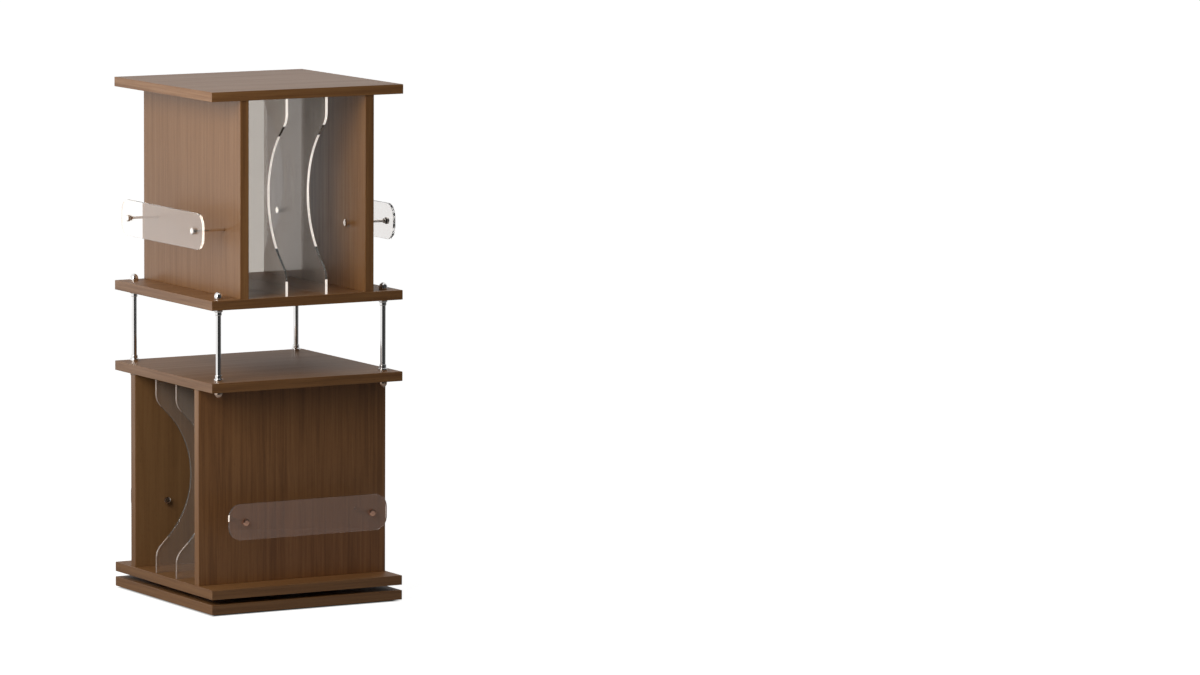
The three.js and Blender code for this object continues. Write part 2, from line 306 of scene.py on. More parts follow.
def remap(tree, value, span, to_span):
    """The value with one span of levels stretched to another, and held at its ends"""
    low, high = span
    to_low, to_high = to_span
    return add(
        tree,
        "ShaderNodeMapRange",
        {"Value": value, "From Min": low, "From Max": high, "To Min": to_low, "To Max": to_high},
    ).outputs["Result"]


def blend_values(tree, first, second, operation="MULTIPLY"):
    return add(tree, "ShaderNodeMath", {0: first, 1: second}, operation=operation).outputs[0]


def ramp(tree, value, stops):
    node = add(tree, "ShaderNodeValToRGB", {"Fac": value})
    elements = node.color_ramp.elements
    while len(elements) < len(stops):
        elements.new(0.5)
    for element, (place, colour) in zip(elements, stops):
        element.position = place
        element.color = (*colour, 1)
    return node.outputs["Color"]


def walnut(name, along, seed, tone_and_shade=1.0, gloss=UPRIGHT_GLOSS, figure_share=1.0):
    """Straight-grained dark walnut veneer with a satin finish, its grain along one axis; its tone factors
    hold painted light and shade besides the wood's own tone
    """
    material, tree, output = new_material(name)
    shift = tuple(seed * share for share in SEED_SHARES)
    grain = stretched(tree, along, across_scale=14.0, along_scale=0.35, shift=shift)
    fibres = noise(tree, grain, scale=72.0, detail=3.0, roughness=0.65)
    streaks = noise(tree, grain, scale=7.0, detail=3.0, roughness=0.85)
    spread = FIGURE_SPREAD / figure_share
    figure = remap(tree, streaks, (0.5 - spread, 0.5 + spread), (0.0, 1.0))
    tones_and_shade = tone_and_shade if isinstance(tone_and_shade, tuple) else (tone_and_shade,) * 3
    stops = [
        (place, tuple(share * part for share, part in zip(tones_and_shade, colour)))
        for place, colour in ((0.15, WALNUT_DARK), (0.5, WALNUT_MIDDLE), (0.9, WALNUT_LIGHT))
    ]
    pore_grain = stretched(tree, along, across_scale=30.0, along_scale=2.0, shift=shift)
    pores = noise(tree, pore_grain, scale=42.0, detail=2.0, roughness=0.7)
    pore_shade = remap(tree, pores, (0.60, 0.70), (1.0, 0.74))
    base = add(
        tree,
        "ShaderNodeVectorMath",
        {0: ramp(tree, figure, stops), "Scale": pore_shade},
        operation="SCALE",
    ).outputs["Vector"]
    bump_height = blend_values(tree, remap(tree, fibres, (0.2, 0.8), (0.0, 1.0)), pore_shade)
    bump = add(tree, "ShaderNodeBump", {"Strength": 0.18, "Distance": 0.0003, "Height": bump_height})
    shader = add(
        tree,
        "ShaderNodeBsdfPrincipled",
        {
            "Base Color": base,
            "Roughness": remap(tree, figure, (0.2, 0.8), gloss),
            "Normal": bump.outputs["Normal"],
        },
    )
    tree.links.new(shader.outputs[0], output.inputs["Surface"])
    return material


def clear_acrylic(name, tint, haze):
    """Clear acrylic with faint smears and a little haze; lamps shine through it"""
    material, tree, output = new_material(name)
    coordinates = add(tree, "ShaderNodeTexCoord").outputs["Object"]
    smears = noise(tree, coordinates, scale=24.0, detail=3.0, roughness=0.6)
    glass = add(
        tree,
        "ShaderNodeBsdfPrincipled",
        {
            "Base Color": (*tint, 1),
            "Roughness": remap(tree, smears, (0.55, 0.8), (0.0, 0.02)),
            "IOR": ACRYLIC_INDEX,
            "Transmission Weight": 1.0 - haze,
        },
    )
    shade = tuple(SHADE_THROUGH_ACRYLIC * part for part in tint)
    through = add(tree, "ShaderNodeBsdfTransparent", {"Color": (*shade, 1)})
    path = add(tree, "ShaderNodeLightPath")
    mix = add(
        tree,
        "ShaderNodeMixShader",
        {0: path.outputs["Is Shadow Ray"], 1: glass.outputs[0], 2: through.outputs[0]},
    )
    tree.links.new(mix.outputs[0], output.inputs["Surface"])
    return material


def painted_glow_edge(name, colour, level):
    """A painted glow on the polished edge of a clear sheet: emission that stands in for the light that the
    sheet gathers and lets out there
    """
    material, tree, output = new_material(name)
    coordinates = add(tree, "ShaderNodeTexCoord").outputs["Object"]
    ripple = noise(tree, coordinates, scale=90.0, detail=2.0, roughness=0.6)
    shader = add(
        tree,
        "ShaderNodeBsdfPrincipled",
        {
            "Base Color": (*colour, 1),
            "Roughness": remap(tree, ripple, (0.3, 0.7), (0.06, 0.14)),
            "IOR": ACRYLIC_INDEX,
            "Transmission Weight": 0.5,
            "Emission Color": (*colour, 1),
            "Emission Strength": remap(tree, ripple, (0.2, 0.8), (level * 0.92, level * 1.08)),
        },
    )
    tree.links.new(shader.outputs[0], output.inputs["Surface"])
    return material


def metal(name, colour, roughness, grain_scale, bump_strength):
    """Bare or plated metal whose gloss varies a little over the surface"""
    material, tree, output = new_material(name)
    coordinates = add(tree, "ShaderNodeTexCoord").outputs["Object"]
    haze = noise(tree, coordinates, grain_scale, detail=3.0, roughness=0.6)
    tint = ramp(
        tree,
        noise(tree, coordinates, grain_scale * 0.2),
        [(0.3, tuple(c * 0.94 for c in colour)), (0.7, colour)],
    )
    bump = add(tree, "ShaderNodeBump", {"Strength": bump_strength, "Distance": 0.0001, "Height": haze})
    shader = add(
        tree,
        "ShaderNodeBsdfPrincipled",
        {
            "Base Color": tint,
            "Metallic": 1.0,
            "Roughness": remap(tree, haze, (0.3, 0.7), (roughness * 0.7, roughness * 1.4)),
            "Normal": bump.outputs["Normal"],
        },
    )
    tree.links.new(shader.outputs[0], output.inputs["Surface"])
    return material


def moulded(name, colour, roughness, grain_scale, bump_strength):
    """Moulded plastic or rubber with a fine pebbled skin"""
    material, tree, output = new_material(name)
    coordinates = add(tree, "ShaderNodeTexCoord").outputs["Object"]
    grain = noise(tree, coordinates, grain_scale, roughness=0.6)
    tint = ramp(
        tree,
        noise(tree, coordinates, grain_scale * 0.05),
        [(0.3, tuple(c * 0.85 for c in colour)), (0.7, colour)],
    )
    bump = add(tree, "ShaderNodeBump", {"Strength": bump_strength, "Distance": 0.0002, "Height": grain})
    shader = add(
        tree,
        "ShaderNodeBsdfPrincipled",
        {
            "Base Color": tint,
            "Roughness": remap(tree, grain, (0.3, 0.7), (roughness * 0.85, roughness)),
            "Normal": bump.outputs["Normal"],
        },
    )
    tree.links.new(shader.outputs[0], output.inputs["Surface"])
    return material


# Shapes


def finish_mesh(name, mesh, materials):
    """Links a mesh as an object with smooth arrises and flat faces"""
    for material in materials:
        mesh.materials.append(material)
    mesh.shade_smooth()
    mesh.set_sharp_from_angle(angle=SMOOTH_ANGLE)
    piece = bpy.data.objects.new(name, mesh)
    bpy.context.collection.objects.link(piece)
    modifier = piece.modifiers.new("even_normals", "WEIGHTED_NORMAL")
    modifier.keep_sharp = True
    return piece


def plate_mesh(name, outline, holes, thickness, arris, to_frame):
    """A flat plate with rounded arrises: outline counter-clockwise, holes clockwise, middle plane at w = 0"""
    curve = bpy.data.curves.new(name, "CURVE")
    curve.dimensions = "2D"
    curve.fill_mode = "BOTH"
    curve.extrude = thickness / 2 - arris
    curve.bevel_depth = arris
    curve.bevel_resolution = ARRIS_SEGMENTS
    curve.offset = -arris
    for points in [outline, *holes]:
        spline = curve.splines.new("POLY")
        spline.points.add(len(points) - 1)
        spline.use_cyclic_u = True
        for point, (u, v) in zip(spline.points, points):
            point.co = (u, v, 0, 1)
    holder = bpy.data.objects.new(name + "_outline", curve)
    bpy.context.collection.objects.link(holder)
    mesh = bpy.data.meshes.new_from_object(holder.evaluated_get(bpy.context.evaluated_depsgraph_get()))
    mesh.name = name
    bpy.data.objects.remove(holder)
    bpy.data.curves.remove(curve)
    shape = bmesh.new()
    shape.from_mesh(mesh)
    bmesh.ops.remove_doubles(shape, verts=shape.verts, dist=arris / 20)
    bmesh.ops.recalc_face_normals(shape, faces=shape.faces)
    bmesh.ops.transform(shape, matrix=to_frame, verts=shape.verts)
    shape.to_mesh(mesh)
    shape.free()
    mesh.materials.clear()
    return mesh


def ring(radius, steps, centre):
    """A hole's outline, clockwise"""
    return [
        (
            centre[0] + radius * math.cos(-2 * math.pi * i / steps),
            centre[1] + radius * math.sin(-2 * math.pi * i / steps),
        )
        for i in range(steps)
    ]


def rectangle(half_u, low_v, high_v):
    return [(-half_u, low_v), (half_u, low_v), (half_u, high_v), (-half_u, high_v)]


def rounded_rectangle(half_u, half_v, radius, steps):
    points = []
    for quarter, (su, sv) in enumerate(((1, 1), (-1, 1), (-1, -1), (1, -1))):
        for i in range(steps + 1):
            angle = math.pi / 2 * (quarter + i / steps)
            points.append(
                (
                    su * (half_u - radius) + radius * math.cos(angle),
                    sv * (half_v - radius) + radius * math.sin(angle),
                )
            )
    return points


def arc_point(radius, angle):
    """How far an arc has left its first tangent after an angle, and how far it has come along it"""
    return radius * (1 - math.cos(angle)), radius * math.sin(angle)


def notched_edge(height, tongue):
    """One end of a divider from bottom to top, as (depth, height) from the end's own line"""
    middle = height / 2
    arc_fall, arc_rise = arc_point(NOTCH_RADIUS, NOTCH_ANGLE)
    lip_depth, lip_rise = arc_point(NOTCH_LIP_RADIUS, NOTCH_ANGLE)
    slant_rise = (NOTCH_DEPTH - arc_fall - lip_depth) / math.tan(NOTCH_ANGLE)
    lip_start = middle - arc_rise - slant_rise - lip_rise
    lower = [(0.0, -tongue)]
    for i in range(LIP_STEPS + 1):
        depth, rise = arc_point(NOTCH_LIP_RADIUS, NOTCH_ANGLE * i / LIP_STEPS)
        lower.append((depth, lip_start + rise))
    for i in range(NOTCH_STEPS // 2):
        fall, rise = arc_point(NOTCH_RADIUS, NOTCH_ANGLE * (1 - 2 * i / NOTCH_STEPS))
        lower.append((NOTCH_DEPTH - fall, middle - rise))
    upper = [(depth, height - rise) for depth, rise in reversed(lower)]
    return [*lower, (NOTCH_DEPTH, middle), *upper]


def lathe_mesh(name, profile, to_frame, steps=ROUND_STEPS):
    """A turned shape about Z from (radius, height) pairs"""
    shape = bmesh.new()
    turns = [2 * math.pi * i / steps for i in range(steps)]
    rings = []
    for radius, height in profile:
        if radius == 0:
            rings.append([shape.verts.new((0, 0, height))] * steps)
            continue
        places = [(radius * math.cos(turn), radius * math.sin(turn), height) for turn in turns]
        rings.append([shape.verts.new(place) for place in places])
    for low, high in zip(rings, rings[1:]):
        for i in range(steps):
            corners = [low[i - 1], low[i], high[i], high[i - 1]]
            corners = [v for n, v in enumerate(corners) if v not in corners[:n]]
            if len(corners) > 2:
                shape.faces.new(corners)
    bmesh.ops.recalc_face_normals(shape, faces=shape.faces)
    bmesh.ops.transform(shape, matrix=to_frame, verts=shape.verts)
    mesh = bpy.data.meshes.new(name)
    shape.to_mesh(mesh)
    shape.free()
    return mesh


def rounded_profile(points):
    """A profile of (radius, height, fillet) whose corners are rounded by their fillet"""
    out = []
    for n, (r, h, fillet) in enumerate(points):
        if fillet == 0:
            out.append((r, h))
            continue
        here = Vector((r, h))
        before = (Vector(points[n - 1][:2]) - here).normalized()
        after = (Vector(points[n + 1][:2]) - here).normalized()
        start, end = here + before * fillet, here + after * fillet
        for i in range(FILLET_STEPS + 1):
            t = i / FILLET_STEPS
            out.append(tuple(start * (1 - t) ** 2 + here * (2 * t * (1 - t)) + end * t**2))
    return out


# Pieces of the frame, dressed


def upright(axis):
    """The matrix that stands a plate up: its u along Y or X, its v along Z, its thickness along the other"""
    if axis == "X":
        return Matrix(((0, 0, 1, 0), (1, 0, 0, 0), (0, 1, 0, 0), (0, 0, 0, 1)))
    return Matrix(((-1, 0, 0, 0), (0, 0, 1, 0), (0, 1, 0, 0), (0, 0, 0, 1)))


def box_of(node):
    low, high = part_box(node)
    return Vector(low), Vector(high)


def upright_box(node, axis):
    """An upright plate's corners, the numbers of its axes across and along, and half its length"""
    low, high = box_of(node)
    across = "XYZ".index(axis)
    along = 1 - across
    return low, high, across, along, (high[along] - low[along]) / 2


def standing(low, high, axis, height):
    """The matrix that stands a plate in the middle of its box across an axis, at a height"""
    across = "XYZ".index(axis)
    place = Vector((0, 0, height))
    place[across] = (low[across] + high[across]) / 2
    return Matrix.Translation(place) @ upright(axis)


def pin_holes(radius, spacing, height):
    """The outlines of two holes side by side at a height"""
    return [ring(radius, HOLE_STEPS, (side * spacing / 2, height)) for side in (-1, 1)]


def dress(piece, node, body):
    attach(piece, body)
    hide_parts(node)


def paint_by_facing(mesh, along_of_facing):
    """Gives each face the material of the axis that it faces, and slanted faces that of the nearest axis"""
    for face in mesh.polygons:
        facing = max(range(3), key=lambda i: abs(face.normal[i]))
        face.material_index = along_of_facing[facing]


def veneered_board(node, body, along, seed):
    """A board with veneered faces and edges; the grain of an edge runs along the edge"""
    # The faces and the edges facing x and y get tone factors with painted light and shade in them
    face_tone_and_shade, side_edge_tone_and_shade, front_edge_tone_and_shade = BOARD_TONES_AND_SHADE[node]
    low, high = box_of(node)
    half = (high.x - low.x) / 2
    thickness = high.z - low.z
    mesh = plate_mesh(
        node + "_veneered",
        rectangle(half, -half, half),
        [],
        thickness,
        BOARD_ARRIS,
        Matrix.Translation((0, 0, (low.z + high.z) / 2)),
    )
    piece = finish_mesh(
        node + "_veneered",
        mesh,
        [
            walnut(f"walnut_{node}_face", along, seed, face_tone_and_shade, FACE_GLOSS, BOARD_FACE_FIGURE),
            walnut(f"walnut_{node}_edge_x", "X", seed + 0.3, front_edge_tone_and_shade),
            walnut(f"walnut_{node}_edge_y", "Y", seed + 0.6, side_edge_tone_and_shade),
        ],
    )
    paint_by_facing(mesh, {0: 2, 1: 1, 2: 0})
    dress(piece, node, body)


def side_panel(node, axis, pin_spacing, rail_height, seed):
    """An upright panel across one axis, with its pin holes and its grain upright"""
    low, high, across, along, half = upright_box(node, axis)
    mesh = plate_mesh(
        node + "_veneered",
        rectangle(half, 0.0, high.z - low.z),
        pin_holes(PIN_HOLE_RADIUS, pin_spacing, rail_height),
        high[across] - low[across],
        BOARD_ARRIS,
        standing(low, high, axis, low.z),
    )
    # The face and edge materials get tone factors with painted light and shade in them
    piece = finish_mesh(
        node + "_veneered",
        mesh,
        [
            walnut(f"walnut_{node}", "Z", seed, PANEL_TONES_AND_SHADE[node], figure_share=PANEL_FIGURES.get(node, 1.0)),
            walnut(f"walnut_{node}_edge", "Z", seed + 0.4, PANEL_EDGE_TONES_AND_SHADE.get(node, 1.0)),
        ],
    )
    paint_by_facing(mesh, {across: 0, along: 1, 2: 1})
    dress(piece, node, "tower")


def divider(node, axis, materials, glow_at):
    """A clear sheet with a wide hollow at both ends; the last argument gives the material of each place of
    its ends, plain acrylic or a painted glow
    """
    low, high, across, along, half = upright_box(node, axis)
    board_under = low.z + TONGUE
    height = high.z - low.z - 2 * TONGUE
    profile = notched_edge(height, TONGUE)
    outline = [(half - d, rise) for d, rise in profile] + [(d - half, rise) for d, rise in reversed(profile)]
    mesh = plate_mesh(
        node + "_clear",
        outline,
        [],
        high[across] - low[across],
        PLATE_ARRIS,
        standing(low, high, axis, board_under),
    )
    piece = finish_mesh(node + "_clear", mesh, materials)
    middle = board_under + height / 2
    for face in mesh.polygons:
        if abs(face.normal[across]) < EDGE_FACING:
            flat = Vector((face.normal[along], face.normal.z)).normalized()
            face.material_index = glow_at(face.center.z - middle, flat.y)
    dress(piece, node, "tower")


def in_hollow(height):
    """Whether a height above the middle of a divider's end lies in the round part of its hollow"""
    return abs(height) < NOTCH_RADIUS * math.sin(NOTCH_ANGLE)


def glows_upper(height, lean):
    """The upper tier's ends get a painted glow except at the slants, the lower lips and the board's own
    grooves
    """
    leans, material = (HOLLOW_LEANS, 2) if in_hollow(height) else (UPPER_END_LEANS, 1)
    return material if leans[0] < lean < leans[1] else 0


def glows_lower(height, lean):
    """The lower tier's ends get a faint painted glow at the lips and the slants under the hollow"""
    glows = not in_hollow(height) and LOWER_END_LEANS[0] < lean < LOWER_END_LEANS[1]
    return 1 if glows else 0


def split_ends(points):
    """A rounded rectangle with two more points in the straight part of both ends"""
    quarter = len(points) // 4
    low_left, low_right = points[2 * quarter], points[0]
    left = [(low_left[0], side * RAIL_HIGHLIGHT_LOW) for side in (1, -1)]
    right = [(low_right[0], side * RAIL_HIGHLIGHT_LOW) for side in (-1, 1)]
    return [*points[: 2 * quarter], *left, *points[2 * quarter :], *right]


def glow_whole_end(place, height, lean):
    """Both ends get a painted glow, up to where their corners turn away"""
    return abs(lean) < RAIL_END_LEAN


def painted_highlight_left(place, height, lean):
    """Only a spot on the left end glows, a painted highlight"""
    return place < 0 and RAIL_HIGHLIGHT_LOW < height < RAIL_HIGHLIGHT_HIGH


# Neither end gets a painted glow
def no_glow(place, height, lean):
    return False


# Which rails' ends get a painted glow, and where
RAIL_GLOWS = {"upper_left": glow_whole_end, "lower_front": painted_highlight_left}


def rail(node, axis, pin_spacing, materials, glows):
    """A clear bar with round corners on two pins; the last argument tells where its ends have the second
    material, a painted glow
    """
    low, high, across, along, half = upright_box(node, axis)
    middle = (low.z + high.z) / 2
    mesh = plate_mesh(
        node + "_clear",
        split_ends(rounded_rectangle(half, (high.z - low.z) / 2, RAIL_CORNER_RADIUS, CORNER_STEPS)),
        pin_holes(SPIGOT_RADIUS + FIT_GAP, pin_spacing, 0.0),
        high[across] - low[across],
        PLATE_ARRIS,
        standing(low, high, axis, middle),
    )
    piece = finish_mesh(node + "_clear", mesh, materials)
    for face in mesh.polygons:
        centre = face.center
        at_end = abs(centre[along]) > half - RAIL_CORNER_RADIUS and abs(face.normal[across]) < EDGE_FACING
        if at_end and glows(centre[along], centre.z - middle, face.normal.z):
            face.material_index = 1
    dress(piece, node, "tower")


def crown(radius, skirt, height):
    """A shallow crown with a small rounded rim, from the top of its skirt to its middle"""
    shares = [i / DOME_STEPS for i in range(1, DOME_STEPS + 1)]
    rises = [(height - skirt) * (1 - (1 - share) ** CROWN_POWER) for share in shares]
    return [(radius * (1 - share), skirt + rise) for share, rise in zip(shares, rises)]


def acorn(radius, skirt, height):
    """An acorn's tip, fuller at the skirt and narrow at the top"""
    shares = [i / DOME_STEPS for i in range(1, DOME_STEPS + 1)]
    return [(radius * (1 - share**2) ** NUT_POWER, skirt + (height - skirt) * share) for share in shares]


def outward(axis, side):
    """The matrix that turns +Z to the side's outward direction along an axis"""
    if axis == "X":
        return Matrix.Rotation(side * math.pi / 2, 4, "Y")
    return Matrix.Rotation(-side * math.pi / 2, 4, "X")


def turned_piece(node, profile, to_frame, material, steps=ROUND_STEPS):
    """A chromed turned piece of the tower, in place of its node"""
    name = node + "_chromed"
    mesh = lathe_mesh(name, profile, to_frame, steps)
    dress(finish_mesh(name, mesh, [material]), node, "tower")


def rail_pin(node, axis, side, material):
    """A long pin from its inner knob through the panel to the collar and the spigot that carry the rail"""
    low, high = box_of(node)
    across = "XYZ".index(axis)
    place = (low + high) / 2
    reach = high[across] - low[across] - KNOB_HEIGHT - SPIGOT_REACH - RAIL_THICKNESS
    place[across] = low[across] + KNOB_HEIGHT if side > 0 else high[across] - KNOB_HEIGHT
    knob = [(r, -h) for r, h in reversed(crown(KNOB_RADIUS, KNOB_SKIRT, KNOB_HEIGHT))]
    profile = knob + rounded_profile(
        [
            (KNOB_RADIUS, -KNOB_SKIRT, 0),
            (KNOB_RADIUS, -KNOB_NECK, KNOB_FILLET),
            (KNOB_NECK_RADIUS, -KNOB_NECK, KNOB_NECK_FILLET),
            (KNOB_NECK_RADIUS, 0, 0),
            (SHANK_RADIUS, 0, 0),
            (SHANK_RADIUS, reach - PIN_COLLAR_HEIGHT, 0),
            (PIN_COLLAR_RADIUS, reach - PIN_COLLAR_HEIGHT, PIN_COLLAR_FILLET),
            (PIN_COLLAR_RADIUS, reach, PIN_COLLAR_FILLET),
            (SPIGOT_RADIUS, reach, 0),
            (SPIGOT_RADIUS, reach + RAIL_THICKNESS + SPIGOT_REACH, 0),
            (0, reach + RAIL_THICKNESS + SPIGOT_REACH, 0),
        ]
    )
    turned_piece(node, profile, Matrix.Translation(place) @ outward(axis, side), material, PIN_STEPS)


def turned_cap(node, to_frame, radius, skirt, tip, bore, depth, material):
    """A turned cap whose flat face has a blind bore; to_frame puts that face in its place"""
    profile = [
        (0, depth),
        (bore, depth),
        (bore, 0),
        (radius - CAP_CHAMFER, 0),
        (radius, CAP_CHAMFER),
        (radius, skirt),
        *tip,
    ]
    turned_piece(node, profile, to_frame, material)


def rail_cap(node, axis, side, material):
    """The crowned cap on a rail pin's spigot"""
    low, high = box_of(node)
    across = "XYZ".index(axis)
    place = (low + high) / 2
    place[across] = low[across] if side > 0 else high[across]
    turned_cap(
        node,
        Matrix.Translation(place) @ outward(axis, side),
        CAP_RADIUS,
        CAP_SKIRT,
        crown(CAP_RADIUS, CAP_SKIRT, CAP_HEIGHT),
        SPIGOT_RADIUS + FIT_GAP,
        SPIGOT_REACH + FIT_GAP,
        material,
    )


def pin_places(label, axis, ends):
    """The spacing of a rail's two pins, and their height above the panel's foot"""
    along = 1 - "XYZ".index(axis)
    pins = [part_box(f"{label}_rail_pin_{end}") for end in ends]
    middles = [(low[along] + high[along]) / 2 for low, high in pins]
    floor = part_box(f"{label}_panel")[0][2]
    return abs(middles[1] - middles[0]), (pins[0][0][2] + pins[0][1][2]) / 2 - floor


def dress_tiers():
    # Materials with a painted glow for the ends of the clear sheets and rails
    edges = {
        tier: [
            painted_glow_edge(f"acrylic_painted_glow_{tier}_{place}", EDGE_GLOW_COLOURS[tier], level)
            for place, level in zip(("end", "hollow"), levels)
        ]
        for tier, levels in EDGE_GLOW_LEVELS.items()
    }
    rail_end = painted_glow_edge("acrylic_edge_rails", EDGE_GLOW_COLOURS["rail"], RAIL_END_GLOW_LEVEL)
    glows = {"upper": glows_upper, "lower": glows_lower}
    chrome = metal("chrome_pins", PIN_COLOUR, **PIN_SKIN)
    # Caps of each tier; the lower ones' colour holds a painted reflection of the wood
    reflection_tinted_caps = {
        tier: metal(f"chrome_caps_reflection_tinted_{tier}", colour, **PIN_SKIN)
        for tier, colour in CAP_COLOURS_WITH_PAINTED_REFLECTION.items()
    }
    for tier, axis, sides, ends in TIERS:
        # The lower tier's rail acrylic carries the painted warm cast in its tint
        acrylic = clear_acrylic(f"acrylic_rails_{tier}", RAIL_TINTS_AND_WARM_CAST[tier], RAIL_HAZES[tier])
        smoky = clear_acrylic(f"acrylic_dividers_{tier}", DIVIDER_TINT, DIVIDER_HAZES[tier])
        for n, (side, name) in enumerate(zip((-1, 1), sides)):
            label = f"{tier}_{name}"
            spacing, height = pin_places(label, axis, ends)
            side_panel(f"{label}_panel", axis, spacing, height, PANEL_SEED_STEP * n + TIER_SEEDS[tier])
            divider(f"{label}_divider", axis, [smoky, *edges[tier]], glows[tier])
            rail(f"{label}_rail", axis, spacing, [acrylic, rail_end], RAIL_GLOWS.get(label, no_glow))
            for end in ends:
                rail_pin(f"{label}_rail_pin_{end}", axis, side, chrome)
                rail_cap(f"{label}_rail_cap_{end}", axis, side, reflection_tinted_caps[tier])


def rod(node, material):
    """A turned rod; it gives the place of its axis"""
    low, high = box_of(node)
    x, y = (low.x + high.x) / 2, (low.y + high.y) / 2
    length = high.z - low.z
    profile = rounded_profile(
        [(0, 0, 0), (ROD_RADIUS, 0, ROD_FILLET), (ROD_RADIUS, length, ROD_FILLET), (0, length, 0)]
    )
    turned_piece(node, profile, Matrix.Translation((x, y, low.z)), material)
    return x, y


def on_rod(node, x, y, points_up):
    """The matrix that puts a piece's flat face at the board and turns its tip up or down"""
    low, high = box_of(node)
    turn = Matrix() if points_up else Matrix.Rotation(math.pi, 4, "X")
    return Matrix.Translation((x, y, low.z if points_up else high.z)) @ turn


def cap_nut(node, to_frame, material):
    turned_cap(
        node,
        to_frame,
        NUT_RADIUS,
        NUT_SKIRT,
        acorn(NUT_RADIUS, NUT_SKIRT, NUT_HEIGHT),
        ROD_RADIUS + FIT_GAP,
        ROD_REACH + FIT_GAP,
        material,
    )


def collar(node, to_frame, material):
    """A flange on the board with a narrower neck round the rod"""
    bore = ROD_RADIUS + FIT_GAP
    profile = rounded_profile(
        [
            (bore, 0, 0),
            (FLANGE_RADIUS, 0, FLANGE_FILLETS[0]),
            (FLANGE_RADIUS, FLANGE_HEIGHT, FLANGE_FILLETS[1]),
            (NECK_RADIUS, FLANGE_HEIGHT + FLANGE_SLOPE, NECK_FILLETS[0]),
            (NECK_RADIUS, COLLAR_HEIGHT, NECK_FILLETS[1]),
            (bore, COLLAR_HEIGHT, 0),
            (bore, 0, 0),
        ]
    )
    turned_piece(node, profile, to_frame, material)


def dress_rods():
    chrome = metal("chrome_rods", ROD_COLOUR, **ROD_SKIN)
    # A darker, browner copy of the chrome for the nuts under the boards: painted shade
    shaded_chrome = metal("chrome_nuts_under_shaded", NUT_UNDER_SHADE_COLOUR, **NUT_UNDER_SKIN)
    for corner in CORNERS:
        x, y = rod(f"rod_{corner}", chrome)
        nuts = (("rod_cap_top", True, chrome), ("rod_cap_bottom", False, shaded_chrome))
        for part, points_up, plating in nuts:
            node = f"{part}_{corner}"
            cap_nut(node, on_rod(node, x, y, points_up), plating)
        for part, points_up in (("rod_collar_bottom", True), ("rod_collar_top", False)):
            node = f"{part}_{corner}"
            collar(node, on_rod(node, x, y, points_up), chrome)


def foot_pad(node, material):
    low, high = box_of(node)
    radius = (high.x - low.x) / 2
    height = high.z - low.z
    profile = rounded_profile(
        [(0, 0, 0), (radius, 0, PAD_FILLETS[0]), (radius, height, PAD_FILLETS[1]), (0, height, 0)]
    )
    place = ((low.x + high.x) / 2, (low.y + high.y) / 2, low.z)
    mesh = lathe_mesh(node + "_pad", profile, Matrix.Translation(place))
    dress(finish_mesh(node + "_pad", mesh, [material]), node, "base")


def dress_base():
    rubber = moulded("foot_rubber", RUBBER_COLOUR, **RUBBER_SKIN)
    for corner in CORNERS:
        foot_pad(f"foot_{corner}", rubber)
    aluminium = metal("race_aluminium", RACE_COLOUR, **RACE_SKIN)
    nylon = moulded("cage_nylon", CAGE_COLOUR, **CAGE_SKIN)
    for node, material in (
        ("bearing_lower_race", aluminium),
        ("bearing_upper_race", aluminium),
        ("bearing_ball_cage", nylon),
    ):
        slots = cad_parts[node].data.materials
        slots.clear()
        slots.append(material)


def dress_boards():
    for n, (node, body) in enumerate(BOARDS.items()):
        veneered_board(node, body, BOARD_GRAIN, BOARD_SEED_STEP * n)


# Studio


def make_floor():
    """A pale floor that keeps the object's shadow and otherwise shows as the white background; its glow is
    cut off under the base as a painted contact shadow, and is low near the tower in reflections as painted
    shade
    """
    shape = bmesh.new()
    bmesh.ops.create_grid(shape, x_segments=1, y_segments=1, size=FLOOR_HALF)
    mesh = bpy.data.meshes.new("studio_floor")
    shape.to_mesh(mesh)
    shape.free()
    floor = bpy.data.objects.new("studio_floor", mesh)
    bpy.context.collection.objects.link(floor)
    material, tree, output = new_material("floor_white")
    diffuse = add(tree, "ShaderNodeBsdfDiffuse", {"Color": (FLOOR_COLOUR,) * 3 + (1,)})
    place = add(tree, "ShaderNodeTexCoord").outputs["Object"]
    distance = add(tree, "ShaderNodeVectorMath", {0: place}, operation="LENGTH").outputs["Value"]
    # Painted shade: the floor's glow in reflections is low near the tower
    in_gloss = remap(tree, distance, (FLOOR_NEAR, FLOOR_FAR), (FLOOR_NEAR_GLOSS_SHADE, 1.0))
    sides = add(tree, "ShaderNodeSeparateXYZ", {"Vector": place})
    spans = [add(tree, "ShaderNodeMath", {0: sides.outputs[axis]}, operation="ABSOLUTE") for axis in "XY"]
    reach = blend_values(tree, *(span.outputs[0] for span in spans), "MAXIMUM")
    # Painted contact shadow: no glow inside the square under the base
    glow_outside_painted_shadow = remap(tree, reach, (PAINTED_SHADOW_INSIDE, PAINTED_SHADOW_OUTSIDE), (0.0, FLOOR_LIFT))
    lift = add(
        tree,
        "ShaderNodeEmission",
        {"Strength": blend_values(tree, seen_rays(tree, in_gloss), glow_outside_painted_shadow)},
    )
    both = add(tree, "ShaderNodeAddShader", {0: diffuse.outputs[0], 1: lift.outputs[0]})
    tree.links.new(both.outputs[0], output.inputs["Surface"])
    mesh.materials.append(material)


